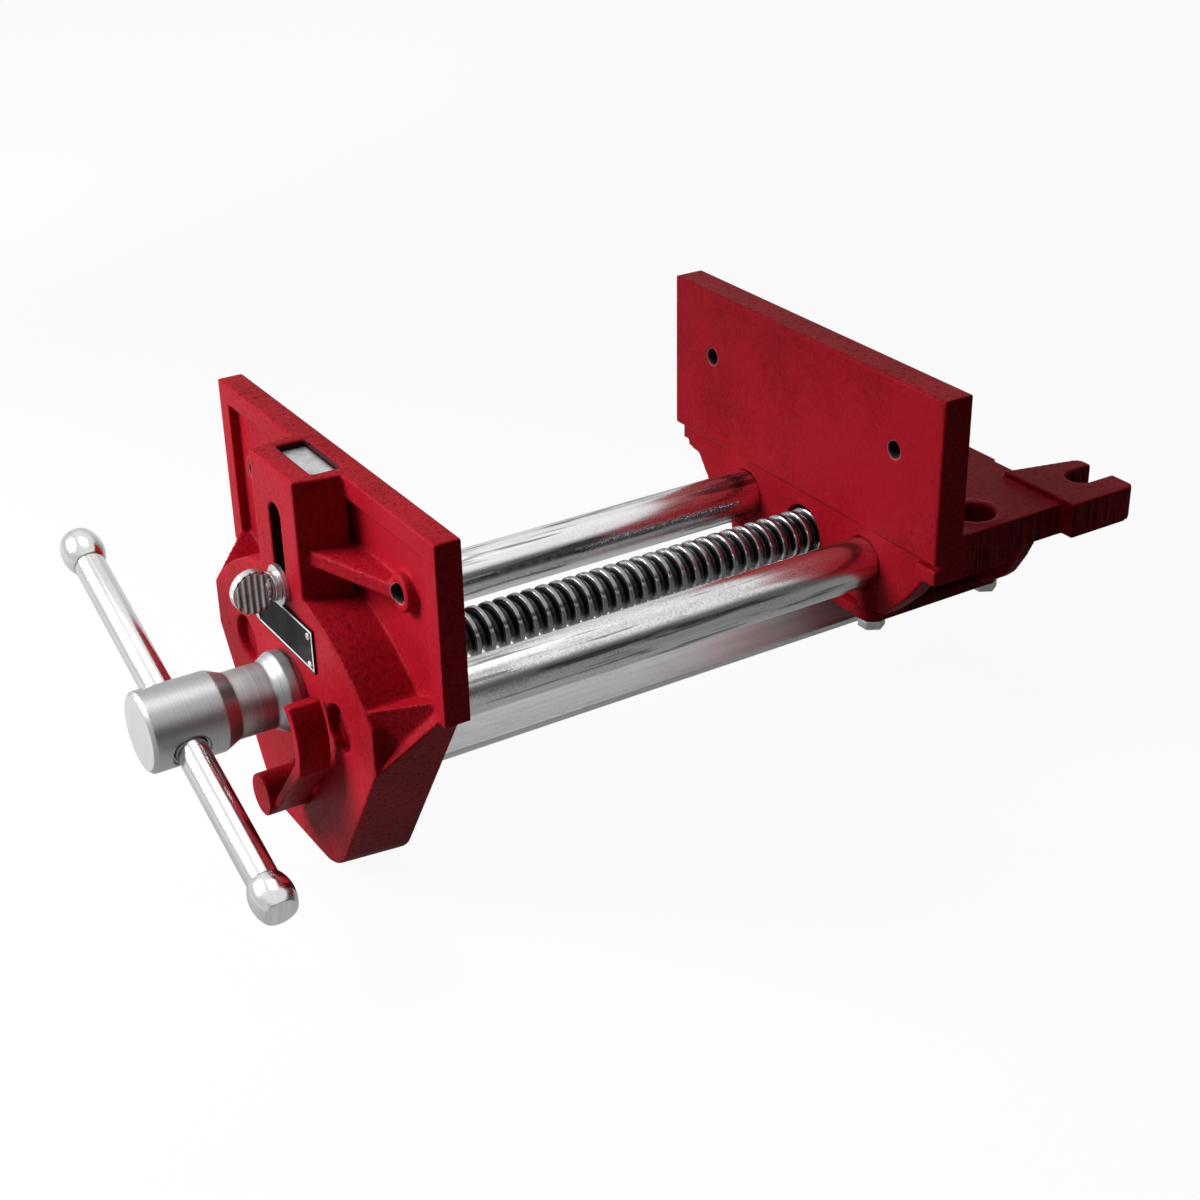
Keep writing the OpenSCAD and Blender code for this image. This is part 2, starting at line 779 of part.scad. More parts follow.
module guide_rod(side) {
    color(steel) on_front_jaw() difference() {
        union() {
            rod_y(side * rod_pitch / 2, rod_z, rod_seat_y, end_y0, rod_r);
            rod_y(side * rod_pitch / 2, rod_z, -apron_t + recess_d, rod_seat_y + cut, spigot_r);
        }
        rod_y(side * rod_pitch / 2, rod_z, end_y0 - rod_end_bolt_len - slide_gap, end_y0 + cut,
            rod_end_bolt_r + press);
        translate([side * rod_pitch / 2, rod_pin_y, rod_z - rod_boss_r])
            cylinder(h = rod_boss_r, r = rod_pin_r + press);
    }
}

module guide_rod_left() {
    guide_rod(-1);
}

module guide_rod_right() {
    guide_rod(1);
}

module rod_pins() {
    color(steel) on_front_jaw() both_sides()
        translate([rod_pitch / 2, rod_pin_y, rod_z - rod_boss_r])
            cylinder(h = rod_boss_r - slide_gap, r = rod_pin_r);
}

// Main screw

module main_screw() {
    root = crest_r - thread_d;
    color(dark_steel) on_front_jaw() translate([0, 0, screw_z]) ringed_solid(concat(
        [[journal_front_y, journal_r, journal_r], [thread_start_y, journal_r, journal_r]],
        thread_rings(thread_start_y, thread_end_y, root, crest_r, thread_steps),
        [[thread_end_y, tail_r, tail_r], [tail_end_y, tail_r, tail_r]]), thread_sides);
}

module screw_head() {
    color(steel) on_front_jaw() difference() {
        translate([0, 0, screw_z]) rotate([-90, 0, 0]) rotate_extrude() polygon([
            [0, head_face_y], [head_r - head_chamfer, head_face_y], [head_r, head_face_y + head_chamfer],
            [head_r, head_y], [neck_r, head_y + front_cone_len], [neck_r, neck_y],
            [head_r, ring_y - head_ring_len], [head_r, ring_y], [0, ring_y]]);
        rod_y(0, screw_z, journal_front_y - slide_gap, ring_y + cut, journal_r + press);
        translate([0, handle_y, screw_z]) rotate([0, 90 + handle_tilt, 0]) {
            cylinder(h = 2 * head_r + 2 * cut, r = handle_hole_r, center = true);
            for (s = [-1, 1])
                translate([0, 0, s * head_r])
                    cylinder(h = 2 * handle_sink_d, r = handle_sink_r, center = true);
        }
    }
}

module thrust_washer() {
    color(dark_steel) on_front_jaw() difference() {
        rod_y(0, screw_z, ring_y, washer_y, head_r - 2 * flat_gap);
        rod_y(0, screw_z, ring_y - cut, washer_y + cut, journal_r + run);
    }
}

module screw_collar() {
    y0 = screw_boss_y + flat_gap;
    color(steel) on_front_jaw() difference() {
        rod_y(0, screw_z, y0, y0 + collar_t, collar_r);
        rod_y(0, screw_z, y0 - cut, y0 + collar_t + cut, journal_r + press);
        collar_pin_shape(collar_pin_r + press, collar_r + cut);
    }
}

module collar_pin_shape(r, half) {
    translate([0, screw_boss_y + flat_gap + collar_t / 2, screw_z - half]) cylinder(h = 2 * half, r = r);
}

module collar_pin() {
    color(steel) on_front_jaw() difference() {
        collar_pin_shape(collar_pin_r, collar_r - flat_gap);
        rod_y(0, screw_z, screw_boss_y, screw_boss_y + collar_t, journal_r + slide_gap);
    }
}

// Handle

// Draws its children along X on the handle's axis, slid through the head
module on_handle() {
    on_front_jaw() translate([0, handle_y, screw_z]) rotate([0, handle_tilt, 0])
        translate([-handle_shift, 0, 0]) children();
}

module handle_bar() {
    color(steel) on_handle() rotate([0, 90, 0]) {
        cylinder(h = 2 * bar_half, r = bar_r, center = true);
        cylinder(h = 2 * (bar_half + knob_bore - slide_gap), r = spigot_bar_r, center = true);
    }
}

// A knob with its seat at the bar's shoulder: a barrel, as wide at its neck as at its flat end
module knob() {
    half = knob_len / 2;
    swell = knob_r - knob_end_r;
    barrel_r = (half * half + swell * swell) / (2 * swell);
    turn = asin(half / barrel_r);
    color(steel) rotate([0, 90, 0]) rotate_extrude() polygon(concat(
        [[spigot_bar_r + press, 0]],
        arc([knob_r - barrel_r, half], barrel_r, -turn, turn, arc_steps),
        [[0, knob_len], [0, knob_bore], [spigot_bar_r + press, knob_bore]]));
}

module handle_knob_lower() {
    on_handle() translate([bar_half, 0, 0]) knob();
}

module handle_knob_upper() {
    on_handle() mirror([1, 0, 0]) translate([bar_half, 0, 0]) knob();
}

// Quick release

module lever_outline() {
    r = lever_arm_r;
    inner = r - lever_arm_t;
    polygon(concat(
        [[lever_r * lever_root_share, -lever_r * lever_foot_share]],
        arc(lever_arm_c, r, lever_arm_a0, lever_arm_a1, arc_steps),
        arc(lever_arm_c, inner, lever_arm_a1 + lever_tip_slant, lever_arm_a0 + lever_root_slant, arc_steps),
        [[lever_r * lever_top_share, 0]]));
}

module release_lever() {
    color(paint) on_front_jaw() difference() {
        union() {
            rod_y(0, release_z, lever_front_y, lever_back_y, lever_r);
            translate([0, 0, release_z]) slab(lever_arm_y0, lever_arm_y1) lever_outline();
        }
        rod_y(0, release_z, tenon_front_y - slide_gap, lever_back_y + cut, tenon_r + press);
        lever_pin_shape(lever_pin_r + press, lever_r + cut);
    }
}

module lever_pin_shape(r, half) {
    translate([0, lever_pin_y, release_z - half]) cylinder(h = 2 * half, r = r);
}

module lever_pin() {
    color(steel) on_front_jaw() lever_pin_shape(lever_pin_r, lever_r - flat_gap);
}

module release_bar() {
    color(steel) on_front_jaw() difference() {
        union() {
            box([-release_w / 2, flat_front_y, release_z - release_t / 2],
                [release_w / 2, end_y0 - slide_gap, release_z + release_t / 2]);
            rod_y(0, release_z, tenon_front_y, flat_front_y + cut, tenon_r);
            rod_y(0, release_z, end_y0 - 2 * release_t, end_y1 + 2 * bar_ring_t, tenon_r);
        }
        lever_pin_shape(lever_pin_r + press, lever_r + cut);
    }
}

// End plate, which ties rods, screw and release bar behind the rear jaw

module end_plate() {
    color(paint) on_front_jaw() difference() {
        union() {
            both_sides() rod_y(rod_pitch / 2, rod_z, end_y0, end_y1, end_lobe_r);
            rod_y(0, release_z, end_y0, end_y1, end_tenon_lobe_r);
            box([-rod_pitch / 2, end_y0, rod_z - end_bar_half],
                [rod_pitch / 2, end_y1, rod_z + end_bar_half]);
            box([-end_web_w / 2, end_y0, release_z], [end_web_w / 2, end_y1, rod_z]);
        }
        both_sides() rod_y(rod_pitch / 2, rod_z, end_y0 - cut, end_y1 + cut, rod_end_bolt_r + press);
        rod_y(0, screw_z, end_y0 - cut, end_y1 + cut, tail_r + run);
        rod_y(0, release_z, end_y0 - cut, end_y1 + cut, tenon_r + run);
    }
}

module end_plate_bolts() {
    seat = end_y1 + end_washer_t;
    color(zinc) on_front_jaw() for (s = [-1, 1]) {
        rod_y(s * rod_pitch / 2, rod_z, end_y0 - rod_end_bolt_len, seat + cut, rod_end_bolt_r);
        hex_y(s * rod_pitch / 2, rod_z, seat, seat + end_bolt_head_h, end_bolt_head_r);
    }
}

module end_plate_washers() {
    color(zinc) on_front_jaw() for (s = [-1, 1]) difference() {
        rod_y(s * rod_pitch / 2, rod_z, end_y1, end_y1 + end_washer_t, end_washer_r);
        rod_y(s * rod_pitch / 2, rod_z, end_y1 - cut, end_y1 + end_washer_t + cut, rod_end_bolt_r + press);
    }
}

module bar_ring() {
    y0 = end_y1 + flat_gap;
    color(steel) on_front_jaw() difference() {
        rod_y(0, release_z, y0, y0 + bar_ring_t, bar_ring_r);
        rod_y(0, release_z, y0 - cut, y0 + bar_ring_t + cut, tenon_r + press);
    }
}

// Dog

module dog() {
    y1 = pocket_y - slide_gap;
    color(zinc) on_front_jaw() difference() {
        box([-dog_w / 2, y1 - dog_t, -dog_sink - dog_h], [dog_w / 2, y1, -dog_sink]);
        rod_y(0, -thumb_drop, y1 - dog_t - cut, y1 + cut, thumb_r + press);
    }
}

module dog_washer() {
    color(zinc) on_front_jaw() difference() {
        rod_y(0, -thumb_drop, -apron_t - washer_big_t - flat_gap, -apron_t - flat_gap, washer_big_r);
        rod_y(0, -thumb_drop, -apron_t - washer_big_t - cut, -apron_t + cut, thumb_r + run);
    }
}

module dog_thumbscrew() {
    collar_y = -apron_t - washer_big_t - 2 * flat_gap;
    color(zinc) on_front_jaw() {
        rod_y(0, -thumb_drop, collar_y - thumb_collar_t, thumb_tip_y - dog_t / 4, thumb_r);
        rod_y(0, -thumb_drop, collar_y - thumb_collar_t, collar_y, thumb_collar_r);
        rod_y(0, -thumb_drop, thumb_disc_y + thumb_disc_r / 2, collar_y - cut, thumb_neck_r);
        translate([0, thumb_disc_y, -thumb_drop]) rotate([0, 90, 0])
            cylinder(h = thumb_disc_t, r = thumb_disc_r, center = true);
        for (i = [0:thumb_ribs - 1]) {
            share = (2 * i + 1) / thumb_ribs - 1;
            half = thumb_disc_r * sqrt(1 - share * share) * thumb_rib_len;
            y = thumb_disc_y + share * thumb_disc_r * thumb_rib_span;
            for (s = [-1, 1])
                translate([s * thumb_disc_t / 2, y, -thumb_drop - half])
                    cylinder(h = 2 * half, r = thumb_rib_r, $fn = 6);
        }
    }
}

// Name plate, left bare

module name_plate() {
    color(black) on_front_jaw() difference() {
        box([-plate_w / 2, -apron_t - plate_t, -plate_drop - plate_h], [plate_w / 2, -apron_t, -plate_drop]);
        rivet_places() rod_y(0, 0, -apron_t - plate_t - cut, -apron_t + cut, rivet_r + press);
    }
}

module rivet_places() {
    for (x = [-1, 1], z = [-plate_drop - rivet_inset, -plate_drop - plate_h + rivet_inset])
        translate([x * (plate_w / 2 - rivet_inset), 0, z]) children();
}

module name_plate_rivets() {
    face = -apron_t - plate_t;
    color(zinc) on_front_jaw() rivet_places() {
        rod_y(0, 0, face - cut / 4, -apron_t + rivet_len, rivet_r);
        rod_y(0, 0, face - rivet_head_h, face, rivet_head_r);
    }
}

rear_jaw();
nut_bracket();
bracket_bolts();
half_nut();
nut_spring_left();
nut_spring_right();
front_jaw();
guide_rod_left();
guide_rod_right();
rod_pins();
main_screw();
screw_head();
thrust_washer();
screw_collar();
collar_pin();
handle_bar();
handle_knob_upper();
handle_knob_lower();
release_lever();
release_bar();
lever_pin();
end_plate();
end_plate_bolts();
end_plate_washers();
bar_ring();
dog();
dog_thumbscrew();
dog_washer();
name_plate();
name_plate_rivets();
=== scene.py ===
# %% [markdown]
# # Dressing a woodworking vise
# The vise is already built as solids, at its real size, with its moving bodies. This lesson gives those
# solids the looks of the real thing: enamelled castings with soft edges, drawn and turned steel, a dark
# rolled screw. Nothing is moved or resized. First the solids are loaded, and their box is kept; at the end
# the box of the dressed vise is worked out as well.

# %% Load the solids
import math

import bmesh
import bpy
import numpy as np
from mathutils import Matrix, Vector


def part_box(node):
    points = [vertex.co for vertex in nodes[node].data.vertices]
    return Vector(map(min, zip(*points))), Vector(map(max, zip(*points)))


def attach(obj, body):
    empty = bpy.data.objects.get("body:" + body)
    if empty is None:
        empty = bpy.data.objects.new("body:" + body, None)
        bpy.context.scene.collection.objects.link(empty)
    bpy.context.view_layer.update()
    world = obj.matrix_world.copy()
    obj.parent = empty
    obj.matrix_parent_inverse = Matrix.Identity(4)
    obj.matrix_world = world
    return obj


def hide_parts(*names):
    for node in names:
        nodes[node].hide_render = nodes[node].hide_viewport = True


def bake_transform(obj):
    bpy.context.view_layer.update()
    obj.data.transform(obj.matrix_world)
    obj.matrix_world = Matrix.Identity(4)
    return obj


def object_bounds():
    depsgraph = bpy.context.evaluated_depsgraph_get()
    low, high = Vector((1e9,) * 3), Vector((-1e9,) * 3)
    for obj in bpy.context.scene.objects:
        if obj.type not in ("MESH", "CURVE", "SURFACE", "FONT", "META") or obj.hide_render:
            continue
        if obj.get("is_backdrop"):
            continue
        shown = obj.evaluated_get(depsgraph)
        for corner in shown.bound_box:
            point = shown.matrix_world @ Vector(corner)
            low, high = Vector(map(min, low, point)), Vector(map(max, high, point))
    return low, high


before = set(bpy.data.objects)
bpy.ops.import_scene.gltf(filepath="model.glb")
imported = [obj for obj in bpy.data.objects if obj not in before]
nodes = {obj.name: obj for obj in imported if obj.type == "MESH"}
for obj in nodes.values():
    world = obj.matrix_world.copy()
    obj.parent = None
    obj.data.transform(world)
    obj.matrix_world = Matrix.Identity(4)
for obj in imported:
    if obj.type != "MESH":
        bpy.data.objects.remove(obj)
cad_low, cad_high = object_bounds()
cad_box = [list(map(float, cad_low)), list(map(float, cad_high))]
print("nodes", len(nodes), "box", cad_box)

# %% [markdown]
# ## Where things are
# A few sizes of the real vise, in metres, taken from the solids' own boxes wherever that is possible.
# The screw and both guide rods run along Y, and JAW_Y is the front jaw's clamping face. Each turned piece
# needs only its axis and a profile.

# %% Sizes and axes
rod_low, rod_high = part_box("guide_rod_right")
ROD_R = (rod_high.x - rod_low.x) / 2
ROD_X = (rod_high.x + rod_low.x) / 2
ROD_Z = (rod_high.z + rod_low.z) / 2
screw_low, screw_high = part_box("main_screw")
SCREW_Z = (screw_low.z + screw_high.z) / 2
front_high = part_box("front_jaw")[1]
JAW_Y, JAW_TOP = front_high.y, front_high.z
print("rod", ROD_R, ROD_X, ROD_Z, "screw", SCREW_Z, "clamping face", JAW_Y, "jaw top", JAW_TOP)

# %% [markdown]
# ## Shader maths as Python
# A material is a small formula over the surface. To write it as a formula, one class wraps a socket and
# gives it the arithmetic operators, so that `1 - mask` adds the Math node it needs. A second class makes
# every other node of a tree with one method: settings first, then sockets. A third is a material, over the
# object's own coordinates. Two short functions put an object into the scene and make a flat board.

# %% A socket that does arithmetic
class Wire:
    """One output socket of a material's nodes, on which + - * / % and power add Math nodes."""

    def __init__(self, tree, socket):
        self.tree, self.socket = tree, socket

    def _math(self, operation, first, second):
        node = self.tree.nodes.new("ShaderNodeMath")
        node.operation = operation
        for slot, value in zip(node.inputs, (first, second)):
            if isinstance(value, Wire):
                self.tree.links.new(value.socket, slot)
            else:
                slot.default_value = float(value)
        return Wire(self.tree, node.outputs[0])

    def __add__(self, other):
        return self._math("ADD", self, other)

    def __radd__(self, other):
        return self._math("ADD", other, self)

    def __sub__(self, other):
        return self._math("SUBTRACT", self, other)

    def __rsub__(self, other):
        return self._math("SUBTRACT", other, self)

    def __mul__(self, other):
        return self._math("MULTIPLY", self, other)

    def __rmul__(self, other):
        return self._math("MULTIPLY", other, self)

    def __truediv__(self, other):
        return self._math("DIVIDE", self, other)

    def __pow__(self, other):
        return self._math("POWER", self, other)

    def __mod__(self, other):
        return self._math("MODULO", self, other)

    def clip(self, low=0.0, high=1.0):
        """The value held between low and high."""
        return self.most(low).least(high)

    def over(self, low, high):
        """0 below low, 1 above high, and a straight line between them."""
        return ((self - low) / (high - low)).clip()

    def size(self):
        """The value without its sign."""
        return self._math("ABSOLUTE", self, 0.0)

    def least(self, other):
        """The smaller of two values."""
        return self._math("MINIMUM", self, other)

    def most(self, other):
        """The larger of two values."""
        return self._math("MAXIMUM", self, other)


# %% A graph of nodes
class Graph:
    """Makes nodes in one node tree."""

    def __init__(self, tree):
        self.tree = tree
        tree.nodes.clear()

    def node(self, kind, settings=None, out=0, **sockets):
        """Adds a node: its settings first, then its sockets, given by name or as _number."""
        node = self.tree.nodes.new(kind)
        for name, value in (settings or {}).items():
            setattr(node, name, value)
        for name, value in sockets.items():
            slot = node.inputs[int(name[1:])] if name[0] == "_" else node.inputs[name.replace("_", " ")]
            if isinstance(value, Wire):
                self.tree.links.new(value.socket, slot)
            else:
                slot.default_value = value
        return Wire(self.tree, node.outputs[out])

    def split(self, vector):
        """The three numbers of a vector."""
        node = self.tree.nodes.new("ShaderNodeSeparateXYZ")
        self.tree.links.new(vector.socket, node.inputs[0])
        return [Wire(self.tree, output) for output in node.outputs]

    def end(self, shader, kind="ShaderNodeOutputMaterial"):
        """Ends the tree with a shader."""
        self.tree.links.new(shader.socket, self.tree.nodes.new(kind).inputs[0])


# %% A material
class Finish(Graph):
    """A material under construction, over the object's own coordinates."""

    def __init__(self, name):
        self.material = bpy.data.materials.new(name)
        self.material.use_nodes = True
        super().__init__(self.material.node_tree)
        self.place = self.node("ShaderNodeTexCoord", out="Object")
        self.x, self.y, self.z = self.split(self.place)

    def noise(self, scale, detail=2.0, rough=0.5, stretch=(1.0, 1.0, 1.0), warp=0.0):
        """Cloudy noise, 0 to 1; a small stretch on an axis draws the clouds out along it."""
        vector = self.node("ShaderNodeMapping", _0=self.place, Scale=stretch)
        return self.node("ShaderNodeTexNoise", Vector=vector, Scale=scale, Detail=detail, Roughness=rough,
                         Distortion=warp)

    def mix(self, share, first, second):
        """A colour between two colours."""
        return self.node("ShaderNodeMix", {"data_type": "RGBA"}, out=2, _0=share,
                         _6=first if isinstance(first, Wire) else (*first, 1.0),
                         _7=second if isinstance(second, Wire) else (*second, 1.0))

    def bump(self, height, depth):
        """A surface raised by height, which runs from 0 to 1, times depth in metres."""
        return self.node("ShaderNodeBump", Height=height, Distance=depth)

    def facing(self):
        """How far the face points along X, Y and Z, each from -1 to 1."""
        return self.split(self.node("ShaderNodeNewGeometry", out="True Normal"))

    def from_screw_axis(self):
        """Distance from the screw's axis = square root of x^2 + (z - SCREW_Z)^2."""
        off = self.z - SCREW_Z
        return (self.x * self.x + off * off) ** 0.5

    def surface(self, **sockets):
        """Ends the material with one Principled shader."""
        self.end(self.node("ShaderNodeBsdfPrincipled", **sockets))
        return self.material


# %% Objects in the scene
def added(name, data):
    """A new object, linked into the scene."""
    thing = bpy.data.objects.new(name, data)
    bpy.context.scene.collection.objects.link(thing)
    return thing


def board(name, corners, material):
    """A flat board with four corners."""
    mesh = bpy.data.meshes.new(name)
    mesh.from_pydata(corners, [], [(0, 1, 2, 3)])
    mesh.materials.append(material)
    return added(name, mesh)


# %% [markdown]
# ## Red enamel over a sand casting
# The castings were poured in sand and dipped in red enamel. The sand's grain shows through it as small
# bumps, and the hollows between them are painted dark, as painted shade. Flat faces that were ground before
# dipping keep only a little of the grain. Three sizes of noise make the grain, and a face's own direction
# tells a ground front from a cast side. The sawn edges of the bench flange keep upright saw marks, with the
# grooves between them painted dark, as painted shade. The screw holes through both jaws were drilled after
# dipping;
# their bores are painted near-black blue-grey, partly as bare metal and partly as painted shade, and a pale
# ring round each mouth is a painted highlight.
# The inside of the dog's pocket and of the slot in front of it is painted near black, as painted shade. Each
# of these is a mask over X, Y and Z, and a pair of numbers is the short way over which the mask fades.

# %% Enamel on castings
HOLE_X, HOLE_Z, HOLE_R = 0.061, JAW_TOP - 0.029, 0.0034
FLANGE_Y, FLANGE_TOP = (-0.016, -0.012), (0.004, 0.006)
SLOT_FRONT = (JAW_Y - 0.0276, JAW_Y - 0.0274)
POCKET_FRONT = (JAW_Y - 0.0188, JAW_Y - 0.0186)
POCKET_BACK = (JAW_Y - 0.0072, JAW_Y - 0.0070)
SLOT_SIDE, POCKET_SIDE = (0.0049, 0.0051), (0.0149, 0.0151)
POCKET_FOOT, POCKET_RIM = (0.0, 0.001), (0.0580, 0.0583)
DULL_RED, BRIGHT_RED = (0.250, 0.0016, 0.0062), (0.41, 0.0072, 0.0195)
HOLLOW_SHADE_RED, SAW_GROOVE_SHADE = (0.050, 0.0004, 0.0012), (0.050, 0.0006, 0.0015)
MOUTH_HIGHLIGHT_RED, BORE_BARE_AND_SHADED, POCKET_SHADE = (0.42, 0.20, 0.20), (0.030, 0.036, 0.042), (0.012, 0.006, 0.006)


def cast_enamel():
    """Height = 0.45 coarse + 0.35 middle + 0.20 fine noise, halved on flats along Y, + 1.6 saw marks."""
    f = Finish("red_cast_enamel")
    nx, ny = f.facing()[:2]
    flat = ny.size().over(0.93, 0.995)
    coarse = f.noise(560, 2, 0.5, warp=0.4)
    middle = f.noise(1050, 2, 0.6)
    fine = f.noise(2300, 2, 0.6)
    broad = f.noise(24, 3, 0.5)
    grain = coarse * 0.45 + middle * 0.35 + fine * 0.20
    # The hollows of the grain are painted dark: painted shade.
    grain_hollows = 1 - grain.over(0.37, 0.47)
    saw = nx.size().over(0.7, 0.9) * f.y.over(*FLANGE_Y) * (1 - f.z.over(*FLANGE_TOP))
    marks = f.noise(520, 2, 0.6, stretch=(0.3, 1.0, 0.05), warp=0.2)
    height = grain * (1 - flat * 0.50) + saw * marks.over(0.40, 0.60) * 1.6
    away = (((f.x.size() - HOLE_X) ** 2.0) + ((f.z - HOLE_Z) ** 2.0)) ** 0.5
    bore = 1 - away.over(HOLE_R + 0.0001, HOLE_R + 0.0003)
    # A pale ring round each hole's mouth: a painted highlight.
    mouth_highlight = ny.size().over(0.5, 0.9) * (1 - away.over(HOLE_R + 0.0006, HOLE_R + 0.0008)) * (1 - bore)
    tone = (broad * 0.45 + grain * 0.55 + flat * 0.05).over(0.40, 0.58)
    colour = f.mix(tone, DULL_RED, BRIGHT_RED)
    colour = f.mix(grain_hollows * (1 - flat) * 0.35, colour, HOLLOW_SHADE_RED)
    # The grooves between the saw marks are painted dark: painted shade.
    colour = f.mix(saw * (1 - marks.over(0.42, 0.52)) * 0.85, colour, SAW_GROOVE_SHADE)
    colour = f.mix(mouth_highlight * 0.6, colour, MOUTH_HIGHLIGHT_RED)
    # The bores are painted near black: partly bare metal, partly painted shade.
    colour = f.mix(bore, colour, BORE_BARE_AND_SHADED)
    # The inside of the pocket and slot is painted near black: painted shade.
    deep = f.y.over(*SLOT_FRONT) * (1 - f.y.over(*POCKET_BACK))
    slot = 1 - f.x.size().over(*SLOT_SIDE)
    pocket = (1 - f.x.size().over(*POCKET_SIDE)) * f.y.over(*POCKET_FRONT)
    wear_and_shade = deep * slot.most(pocket) * f.z.over(*POCKET_FOOT) * (1 - f.z.over(*POCKET_RIM))
    colour = f.mix(wear_and_shade * 0.95, colour, POCKET_SHADE)
    rough = (0.36 + grain * 0.22 + grain_hollows * 0.2).clip(0.2, 0.9)
    return f.surface(Base_Color=colour, Roughness=rough, Normal=f.bump(height, 0.00050),
                     Specular_IOR_Level=0.06)


enamel = cast_enamel()
print("material", enamel.name)

# %% [markdown]
# ## Bright drawn steel
# Guide rods and handles are drawn and ground bar. Grinding leaves faint lines along the length, and
# handling leaves small dull spots. On the rods, dark streaks along the length are painted reflection of
# dark surroundings. A long thin noise makes the lines and the streaks, and a small one makes the spots.
# Metal shows mostly what it mirrors, so the colour stays light and the roughness carries the wear.

# %% Steel, ground along its length
def drawn_steel(name, along, tint=(0.66, 0.67, 0.68), low=0.16, high=0.42, marks=1.0, painted_streaks=0.0):
    """Roughness = low + (high - low)(lines + worn) / 2, where along is the stretch that draws lines out."""
    f = Finish(name)
    lines = f.noise(420, 4, 0.7, stretch=along)
    cloud = f.noise(46, 4, 0.7, stretch=tuple(min(1.0, a * 8) for a in along))
    spots = f.noise(1100, 3, 0.7)
    wear_and_shade = (cloud * 0.60 + spots * 0.40).over(0.50, 0.60) * marks
    colour = f.mix(lines.over(0.35, 0.7), tuple(c * 0.84 for c in tint), tint)
    colour = f.mix(wear_and_shade * 0.6, colour, tuple(c * 0.30 for c in tint))
    # Dark streaks along the length: painted reflection of dark surroundings.
    if painted_streaks:
        dark_streak = f.noise(300, 3, 0.6, stretch=tuple(a ** 0.8 for a in along))
        colour = f.mix(dark_streak.over(0.55, 0.62) * painted_streaks, colour, tuple(c * 0.16 for c in tint))
    rough = (low + (high - low) * (lines * 0.5 + wear_and_shade * 0.5)).clip(0.05, 0.9)
    height = lines * 0.5 + spots * 0.5
    return f.surface(Base_Color=colour, Metallic=1.0, Roughness=rough, Normal=f.bump(height, 0.00003))


rod_steel = drawn_steel("ground_rod_steel", (1.0, 0.02, 1.0), tint=(0.86, 0.87, 0.88), marks=0.85,
                        painted_streaks=0.8)
bar_steel = drawn_steel("drawn_handle_steel", (0.05, 1.0, 0.05), tint=(0.80, 0.80, 0.80), low=0.12,
                        high=0.30, marks=0.25)
plain_steel = drawn_steel("plain_steel", (1.0, 0.3, 1.0), low=0.22, high=0.45)
sheet_steel = drawn_steel("rolled_flat_steel", (1.0, 0.03, 1.0), tint=(0.84, 0.85, 0.86), low=0.45,
                          high=0.65, marks=0.4)
print("steels", rod_steel.name, bar_steel.name, plain_steel.name, sheet_steel.name)

# %% [markdown]
# ## Turned steel
# The screw head was turned in a lathe, so its tool marks are rings about the screw's axis. The distance
# from that axis and the place along it give the rings: on the end face they are circles, and on the
# barrel they are hoops. Faces across the axis are painted much lighter than the barrel, as a painted
# highlight.

# %% Steel, turned about the screw's axis
def turned_steel():
    """Rings = noise over (distance from the axis, place along the axis) only."""
    f = Finish("turned_head_steel")
    ring = f.node("ShaderNodeCombineXYZ", X=f.from_screw_axis(), Y=f.y, Z=0.0)
    marks = f.node("ShaderNodeTexNoise", Vector=ring, Scale=2600.0, Detail=3.0, Roughness=0.7)
    cloud = f.noise(90, 3, 0.6)
    rough = (0.26 + marks * 0.16 + cloud * 0.10).clip(0.05, 0.9)
    colour = f.mix(marks.over(0.35, 0.65), (0.34, 0.35, 0.36), (0.50, 0.51, 0.52))
    # Faces across the axis are painted lighter: a painted highlight.
    face_highlight = f.facing()[1].size().over(0.90, 0.99)
    colour = f.mix(face_highlight * (0.75 + marks * 0.25), colour, (0.90, 0.91, 0.92))
    return f.surface(Base_Color=colour, Metallic=1.0, Roughness=rough, Normal=f.bump(marks, 0.00004))


head_steel = turned_steel()
print("material", head_steel.name)

# %% [markdown]
# ## The dark screw
# A rolled and oiled screw is dark. Its valleys are painted almost black, as painted shade, and its crests
# lighter, partly as wear and partly as painted highlight. The distance from the axis tells a valley from a
# crest.

# %% Dark rolled steel, valleys painted dark and crests light
DARK_VALLEY_R, LIGHT_CREST_R = 0.0083, 0.0097


def screw_steel():
    """Crest = 0 up to DARK_VALLEY_R from the screw's axis, 1 from LIGHT_CREST_R outwards."""
    f = Finish("oiled_screw_steel")
    # Valleys painted near black as painted shade; crests lighter, partly wear, partly painted highlight.
    crest = f.from_screw_axis().over(DARK_VALLEY_R, LIGHT_CREST_R)
    smear = f.noise(300, 4, 0.6)
    share = (crest * 0.8 + smear * 0.35 - 0.1).clip()
    colour = f.mix(share, (0.016, 0.016, 0.018), (0.34, 0.35, 0.36))
    rough = (0.26 - crest * 0.10 + smear * 0.10).clip(0.05, 0.9)
    return f.surface(Base_Color=colour, Metallic=0.95, Roughness=rough, Normal=f.bump(smear, 0.00004))


dark_steel = screw_steel()
print("material", dark_steel.name)

# %% [markdown]
# ## Zinc plate and black enamel
# Small hardware is zinc plated, with a cloudy, faintly spangled skin. The thumbscrew's disc has upright
# grooves for the fingers, which are drawn as dark lines at an even pitch across both its faces. The name
# plate is black enamel on sheet, with a thin bare frame, and carries no writing.

# %% Zinc and black enamel
GROOVE_PITCH, DISC_FROM_TIP = 0.0024, 0.0083
DISC_FACE, DISC_EDGE = (0.0012, 0.0016), (0.0072, 0.0076)


